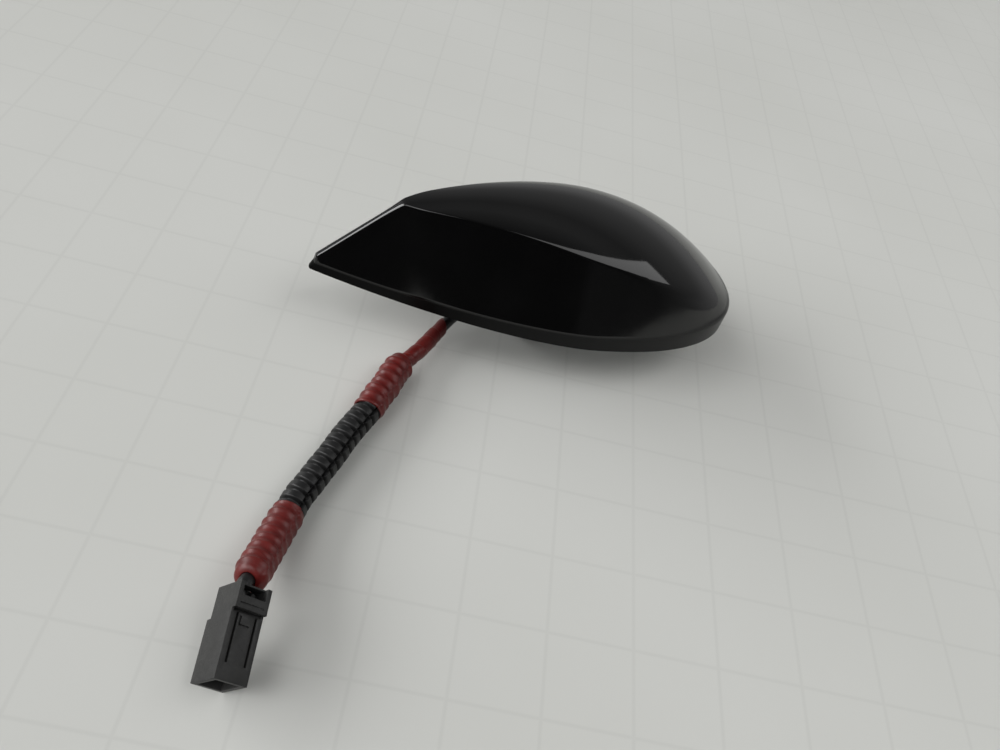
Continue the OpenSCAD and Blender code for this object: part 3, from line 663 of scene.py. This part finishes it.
def solid_of(boxes, cuts, name, bevel):
    """A moulded piece: boxes joined, cuts taken out, edges rounded.

    Boxes are (low, high) in the plug's frame.
    """

    def prism(corners_low, corners_high, label):
        (x0, y0, z0), (x1, y1, z1) = corners_low, corners_high
        pts = [(x, y, z) for x in (x0, x1) for y in (y0, y1) for z in (z0, z1)]
        quads = [(0, 1, 3, 2), (4, 6, 7, 5), (0, 4, 5, 1), (2, 3, 7, 6), (0, 2, 6, 4), (1, 5, 7, 3)]
        return add_mesh(label, pts, quads, smooth=False)

    def boolean(target, other, kind):
        m = target.modifiers.new("b", "BOOLEAN")
        m.operation = kind
        m.solver = "EXACT"
        m.object = other
        mesh = evaluated_mesh(target)
        target.modifiers.clear()
        target.data = mesh
        bpy.data.objects.remove(other)

    body = prism(*boxes[0], name)
    for i, b in enumerate(boxes[1:]):
        boolean(body, prism(*b, f"add{i}"), "UNION")
    for i, b in enumerate(cuts):
        boolean(body, prism(*b, f"cut{i}"), "DIFFERENCE")
    m = body.modifiers.new("bevel", "BEVEL")
    m.width = bevel * MM
    m.segments = 2
    m.limit_method = "ANGLE"
    m.angle_limit = math.radians(40)
    mesh = evaluated_mesh(body)
    body.modifiers.clear()
    body.data = mesh
    co = np.zeros(len(mesh.vertices) * 3)
    mesh.vertices.foreach_get("co", co)
    placed = plug_place(co.reshape(-1, 3) / MM) * MM
    mesh.vertices.foreach_set("co", placed.ravel())
    mesh.update()
    mesh.polygons.foreach_set("use_smooth", [True] * len(mesh.polygons))
    body.name = name
    return body


STEP = 1.3
REAR_L = 6.4
GUARD_L = 5.2
housing = solid_of(
    [
        ((0, 0, 0), (PLUG_L, PLUG_W - STEP, PLUG_H)),
        ((REAR_L, 0, 0), (PLUG_L, PLUG_W, PLUG_H)),
        ((0, -1.1, 0), (GUARD_L, 0.5, 0.9)),
        ((0, -1.1, PLUG_H - 0.9), (GUARD_L, 0.5, PLUG_H)),
        ((2.6, -1.1, 0.2), (GUARD_L, -0.3, PLUG_H - 0.2)),
    ],
    [
        ((PLUG_L - 8, 1, 1), (PLUG_L + 1, PLUG_W - 1, PLUG_H - 1)),
        ((5.4, -1, 1.2), (15.4, 0.8, 1.75)),
        ((5.4, -1, PLUG_H - 1.75), (15.4, 0.8, PLUG_H - 1.2)),
        ((-1, 2.6, 1.9), (3.5, 6.0, 5.2)),
        ((0.35, -0.3, 0.95), (3.3, 3.4, PLUG_H - 0.95)),
        ((5.15, -0.6, 0.5), (5.75, 0.9, PLUG_H - 0.5)),
        ((4.0, -1.4, 0.9), (4.35, -0.85, PLUG_H - 0.9)),
        ((6.3, -0.4, 2.15), (8.2, 0.45, 2.5)),
        ((7.85, -0.4, 2.15), (8.2, 0.45, 4.5)),
    ],
    "plug_housing",
    0.14,
)

# Materials


def material(name):
    m = bpy.data.materials.new(name)
    m.use_nodes = True
    tree = m.node_tree
    return m, tree, tree.nodes["Principled BSDF"]


def coordinates(tree):
    return tree.nodes.new("ShaderNodeTexCoord").outputs["Object"]


def noise(tree, vector, scale, detail=4):
    n = tree.nodes.new("ShaderNodeTexNoise")
    n.inputs["Scale"].default_value = scale
    n.inputs["Detail"].default_value = detail
    tree.links.new(vector, n.inputs["Vector"])
    return n.outputs["Fac"]


def ramp(tree, value, stops):
    r = tree.nodes.new("ShaderNodeValToRGB")
    elements = r.color_ramp.elements
    while len(elements) < len(stops):
        elements.new(0.5)
    for e, (place, colour) in zip(elements, stops):
        e.position = place
        e.color = (*colour, 1)
    tree.links.new(value, r.inputs["Fac"])
    return r.outputs["Color"]


def remap(tree, value, low, high, to_low, to_high):
    r = tree.nodes.new("ShaderNodeMapRange")
    for key, v in (("From Min", low), ("From Max", high), ("To Min", to_low), ("To Max", to_high)):
        r.inputs[key].default_value = v
    tree.links.new(value, r.inputs["Value"])
    return r.outputs["Result"]


def maths(tree, operation, a, b=None, clamp=False):
    """A maths node on one or two values, each a number or an output."""
    node = tree.nodes.new("ShaderNodeMath")
    node.operation = operation
    node.use_clamp = clamp
    for socket, value in zip(node.inputs, (a, b)):
        if isinstance(value, (int, float)):
            socket.default_value = value
        elif value is not None:
            tree.links.new(value, socket)
    return node.outputs[0]


def bump(tree, bsdf, height, strength, distance):
    b = tree.nodes.new("ShaderNodeBump")
    b.inputs["Strength"].default_value = strength
    b.inputs["Distance"].default_value = distance
    tree.links.new(height, b.inputs["Height"])
    tree.links.new(b.outputs["Normal"], bsdf.inputs["Normal"])


def two_tones(tree, bsdf, value, dark, light, low=0.3, high=0.7):
    """The surface's colour, between two tones by a value."""
    tree.links.new(ramp(tree, value, [(low, dark), (high, light)]), bsdf.inputs["Base Color"])


def plain(name, dark, light, rough, scale=600, bump_by=0.0, metallic=0.0, spread=0.08, specular=0.5):
    """A material whose colour and roughness vary a little with noise."""
    m, tree, bsdf = material(name)
    vector = coordinates(tree)
    two_tones(tree, bsdf, noise(tree, vector, scale), dark, light)
    fine = noise(tree, vector, scale * 3)
    tree.links.new(remap(tree, fine, 0.3, 0.7, rough - spread, rough + spread), bsdf.inputs["Roughness"])
    bsdf.inputs["Metallic"].default_value = metallic
    bsdf.inputs["Specular IOR Level"].default_value = specular
    if bump_by:
        bump(tree, bsdf, fine, bump_by, 0.0001)
    return m


# Gloss cover: very smooth, with the faint waviness of a moulding and a little uneven roughness
gloss, tree, bsdf = material("gloss_black")
vector = coordinates(tree)
COVER_DARK, COVER_LIGHT = (0.0015, 0.0015, 0.0016), (0.0024, 0.0024, 0.0025)
two_tones(tree, bsdf, noise(tree, vector, 60), COVER_DARK, COVER_LIGHT, 0.35, 0.65)
# Height in metres over the top of the skirt, which falls evenly from the nose to the tail
SKIRT_EDGE = 0.0049
SKIRT_TILT = 0.0293
over = tree.nodes.new("ShaderNodeVectorMath")
over.operation = "DOT_PRODUCT"
over.inputs[1].default_value = (-SKIRT_TILT, 0, 1)
tree.links.new(vector, over.inputs[0])
fore = tree.nodes.new("ShaderNodeSeparateXYZ")
tree.links.new(vector, fore.inputs[0])
# Satin turns to gloss over a short height along the side, and over a longer one at the nose
steep = remap(tree, fore.outputs["X"], 0.01, 0.048, 1 / 0.0006, 1 / 0.006)
shine = maths(tree, "MULTIPLY", maths(tree, "SUBTRACT", over.outputs["Value"], SKIRT_EDGE), steep, clamp=True)
rough = tree.nodes.new("ShaderNodeMix")
tree.links.new(shine, rough.inputs["Factor"])
rough.inputs[2].default_value = 0.34
tree.links.new(remap(tree, noise(tree, vector, 90, 6), 0.35, 0.75, 0.05, 0.1), rough.inputs[3])
tree.links.new(rough.outputs[0], bsdf.inputs["Roughness"])
# The skirt's sheen fades towards the tail
level = tree.nodes.new("ShaderNodeMix")
tree.links.new(shine, level.inputs["Factor"])
tree.links.new(remap(tree, fore.outputs["X"], -0.06, 0.045, 0.05, 0.26), level.inputs[2])
level.inputs[3].default_value = 0.5
tree.links.new(level.outputs[0], bsdf.inputs["Specular IOR Level"])
bsdf.inputs["IOR"].default_value = 1.5
bump(tree, bsdf, noise(tree, vector, 140, 2), 0.02, 0.0002)

red, tree, bsdf = material("red_tape")
vector = coordinates(tree)
two_tones(tree, bsdf, noise(tree, vector, 350, 5), (0.085, 0.006, 0.005), (0.14, 0.011, 0.009))
tree.links.new(remap(tree, noise(tree, vector, 900), 0.3, 0.7, 0.33, 0.46), bsdf.inputs["Roughness"])
bsdf.inputs["Specular IOR Level"].default_value = 0.4
bump(tree, bsdf, noise(tree, vector, 1400, 3), 0.08, 0.0001)

conduit_black = plain(
    "conduit_black", (0.006, 0.006, 0.0062), (0.011, 0.011, 0.0112), 0.42, 500, 0.1, specular=0.4
)
cable_black = plain("cable_black", (0.004, 0.004, 0.0042), (0.008, 0.008, 0.0082), 0.38, 500, 0.08)
housing_grey = plain(
    "housing_grey", (0.022, 0.022, 0.0216), (0.032, 0.032, 0.0312), 0.5, 900, 0.25, specular=0.33
)
rubber_black = plain("rubber_black", (0.012, 0.012, 0.012), (0.022, 0.022, 0.022), 0.75, 700, 0.3)
cast_metal = plain("cast_metal", (0.42, 0.43, 0.45), (0.58, 0.59, 0.61), 0.42, 900, 0.35, 1.0)
zinc = plain("zinc_plate", (0.55, 0.55, 0.56), (0.7, 0.7, 0.72), 0.28, 800, 0.1, 1.0)
board_green = plain("board_green", (0.008, 0.09, 0.035), (0.014, 0.13, 0.05), 0.3, 300, 0.1)
pad_white = plain("pad_white", (0.6, 0.58, 0.52), (0.75, 0.73, 0.66), 0.8, 900, 0.3)
ceramic = plain("ceramic", (0.5, 0.43, 0.32), (0.62, 0.55, 0.42), 0.55, 700, 0.2)
silver = plain("silver_fired", (0.68, 0.68, 0.7), (0.82, 0.82, 0.84), 0.35, 900, 0.15, 1.0)
gold = plain("contact_gold", (0.6, 0.4, 0.13), (0.75, 0.52, 0.2), 0.25, 900, 0.05, 1.0)
tin = plain("tin_sheet", (0.58, 0.59, 0.6), (0.72, 0.73, 0.74), 0.3, 500, 0.1, 1.0)
chip_black = plain("chip_black", (0.012, 0.012, 0.013), (0.02, 0.02, 0.021), 0.5, 900, 0.2)
natural = plain("natural_plastic", (0.5, 0.5, 0.46), (0.6, 0.6, 0.56), 0.45, 500, 0.1)


def give(obj, m):
    obj.data.materials.clear()
    obj.data.materials.append(m)


for obj, m, slot_name in (
    (cable, cable_black, "lead_cable"),
    (cable_tape, red, "cable_tape"),
    (conduit, conduit_black, "conduit"),
    (upper_tape, red, "upper_tape"),
    (lower_tape, red, "lower_tape"),
    (housing, housing_grey, "connector_housing"),
    (cover, gloss, "cover"),
):
    give(obj, m)
    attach(obj, "root")
    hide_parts(slot_name)

for node_name, m in (
    ("rim_seal", rubber_black),
    ("roof_seal", rubber_black),
    ("cable_gland", rubber_black),
    ("base_plate", cast_metal),
    ("cover_screws", zinc),
    ("board_screws", zinc),
    ("circuit_board", board_green),
    ("patch_pad", pad_white),
    ("patch_ceramic", ceramic),
    ("filter_block", ceramic),
    ("patch_electrode", silver),
    ("feed_pin", gold),
    ("cable_ferrule", gold),
    ("connector_blades", gold),
    ("shield_can", tin),
    ("amplifier_chip", chip_black),
    ("connector_retainer", natural),
):
    give(NODES[node_name], m)

# Floor and light

FLOOR_Z = -14.5
FLOOR_HALF = 1500
floor_corners = [(x * FLOOR_HALF, y * FLOOR_HALF, FLOOR_Z) for x, y in ((-1, -1), (1, -1), (1, 1), (-1, 1))]
floor = add_mesh("floor", floor_corners, [(0, 1, 2, 3)])
mat, tree, bsdf = material("mat_paper")
vector = coordinates(tree)
paper = ramp(tree, noise(tree, vector, 9, 3), [(0.3, (0.603, 0.608, 0.579)), (0.7, (0.634, 0.639, 0.613))])

# Faint ruled squares, turned a little. This floor lies nearer than the mat did, so they are 20 mm apart
RULED = 0.02
ruled = tree.nodes.new("ShaderNodeMapping")
ruled.inputs["Scale"].default_value = (1 / RULED, 1 / RULED, 1)
ruled.inputs["Rotation"].default_value = (0, 0, math.radians(14))
ruled.inputs["Location"].default_value = (-0.12, 0.4, 0)
tree.links.new(vector, ruled.inputs["Vector"])
cells = tree.nodes.new("ShaderNodeSeparateXYZ")
tree.links.new(ruled.outputs["Vector"], cells.inputs[0])
offset = [maths(tree, "SUBTRACT", maths(tree, "FRACT", cells.outputs[k]), 0.5) for k in "XY"]
from_line = maths(tree, "MINIMUM", *(maths(tree, "ABSOLUTE", value) for value in offset))
faint = remap(tree, from_line, 0.008, 0.03, 0.955, 1.0)
tint = tree.nodes.new("ShaderNodeVectorMath")
tint.operation = "SCALE"
tree.links.new(paper, tint.inputs[0])
tree.links.new(faint, tint.inputs["Scale"])
tree.links.new(tint.outputs["Vector"], bsdf.inputs["Base Color"])
bsdf.inputs["Roughness"].default_value = 0.8
bsdf.inputs["Specular IOR Level"].default_value = 0.0
give(floor, mat)


def greys(*stops):
    """Stops of a grey ramp, from pairs of place and level."""
    return [(place, (level,) * 3) for place, level in stops]


world = bpy.data.worlds.new("world")
scene.world = world
world.use_nodes = True
tree = world.node_tree
background = tree.nodes["Background"]
sky = tree.nodes.new("ShaderNodeTexCoord")
parts = tree.nodes.new("ShaderNodeSeparateXYZ")
tree.links.new(sky.outputs["Generated"], parts.inputs["Vector"])
# Pale low down behind the aerial, dim overhead, and nearly dark in front of it
up_levels = greys((0, 0.38), (0.12, 0.37), (0.28, 0.26), (0.5, 0.24), (0.68, 0.17), (0.85, 0.26), (1, 0.16))
height = ramp(tree, parts.outputs["Z"], up_levels)
turn = tree.nodes.new("ShaderNodeVectorMath")
turn.operation = "DOT_PRODUCT"
turn.inputs[1].default_value = (0.5, 0.866, 0)
tree.links.new(sky.outputs["Generated"], turn.inputs[0])
side_levels = greys((0, 0.07), (0.09, 0.08), (0.105, 0.2), (0.3, 0.2), (0.66, 0.9), (0.8, 1))
side = ramp(tree, remap(tree, turn.outputs["Value"], -1, 1, 0, 1), side_levels)
mix = tree.nodes.new("ShaderNodeVectorMath")
mix.operation = "SCALE"
tree.links.new(height, mix.inputs[0])
tree.links.new(side, mix.inputs["Scale"])
tree.links.new(mix.outputs["Vector"], background.inputs["Color"])
background.inputs["Strength"].default_value = 1.0


def lamp(name, at, to, size_x, size_y, radiance, turn):
    """A rectangular lamp with the radiance given, turned about its own axis by turn degrees."""
    data = bpy.data.lights.new(name, "AREA")
    data.shape = "RECTANGLE"
    data.size = size_x
    data.size_y = size_y
    data.energy = radiance * math.pi * size_x * size_y
    obj = bpy.data.objects.new(name, data)
    z = (Vector(at) - Vector(to)).normalized()
    x = Vector((math.cos(math.radians(turn)), math.sin(math.radians(turn)), 0))
    x = (x - x.dot(z) * z).normalized()
    obj.matrix_world = Matrix.Translation(Vector(at)) @ Matrix((x, z.cross(x), z)).transposed().to_4x4()
    obj.visible_camera = False
    scene.collection.objects.link(obj)


HIGH = 1.2
WINDOW_TURN = 32
WINDOW_MID = (0.93, -0.13)
WINDOW_RADIANCE = 1.75


def window_pane(name, u0, u1, v0, v1):
    """Part of a level window overhead, between shares of its height along and across its own direction."""
    u, v = (u0 + u1) / 2, (v0 + v1) / 2
    c, s = math.cos(math.radians(WINDOW_TURN)), math.sin(math.radians(WINDOW_TURN))
    x = (WINDOW_MID[0] + u * c - v * s) * HIGH
    y = (WINDOW_MID[1] + u * s + v * c) * HIGH
    size = (u1 - u0) * HIGH, (v1 - v0) * HIGH
    lamp(name, (x, y, HIGH), (x, y, 0), *size, WINDOW_RADIANCE, WINDOW_TURN)


# The window that the dome mirrors as a wedge: narrow towards the fin and deeper at its far end
NEAR_HEAD, FAR_HEAD, FAR_END = 0.345, 0.45, 0.56
window_pane("window_right_near", -0.95, 0.0, -0.3, NEAR_HEAD)
# The far half's head rises evenly, so it is made of narrow panes
PANE_EDGES = np.linspace(0.0, FAR_END, 9)
for i, (u0, u1) in enumerate(zip(PANE_EDGES[:-1], PANE_EDGES[1:])):
    head = float(np.interp((u0 + u1) / 2, [0.0, FAR_END], [NEAR_HEAD, FAR_HEAD]))
    window_pane(f"window_right_far_{i}", float(u0), float(u1), -0.42, head)
lamp("window_left", (-3.74, 1.07, 1.57), (0, 0, 0), 6.0, 1.5, 6.6, 74)
lamp("window_front", (-2.5, -1.0, 2.8), (0, 0, 0), 3.0, 2.4, 2.6, 112)

scene.view_settings.view_transform = "Standard"
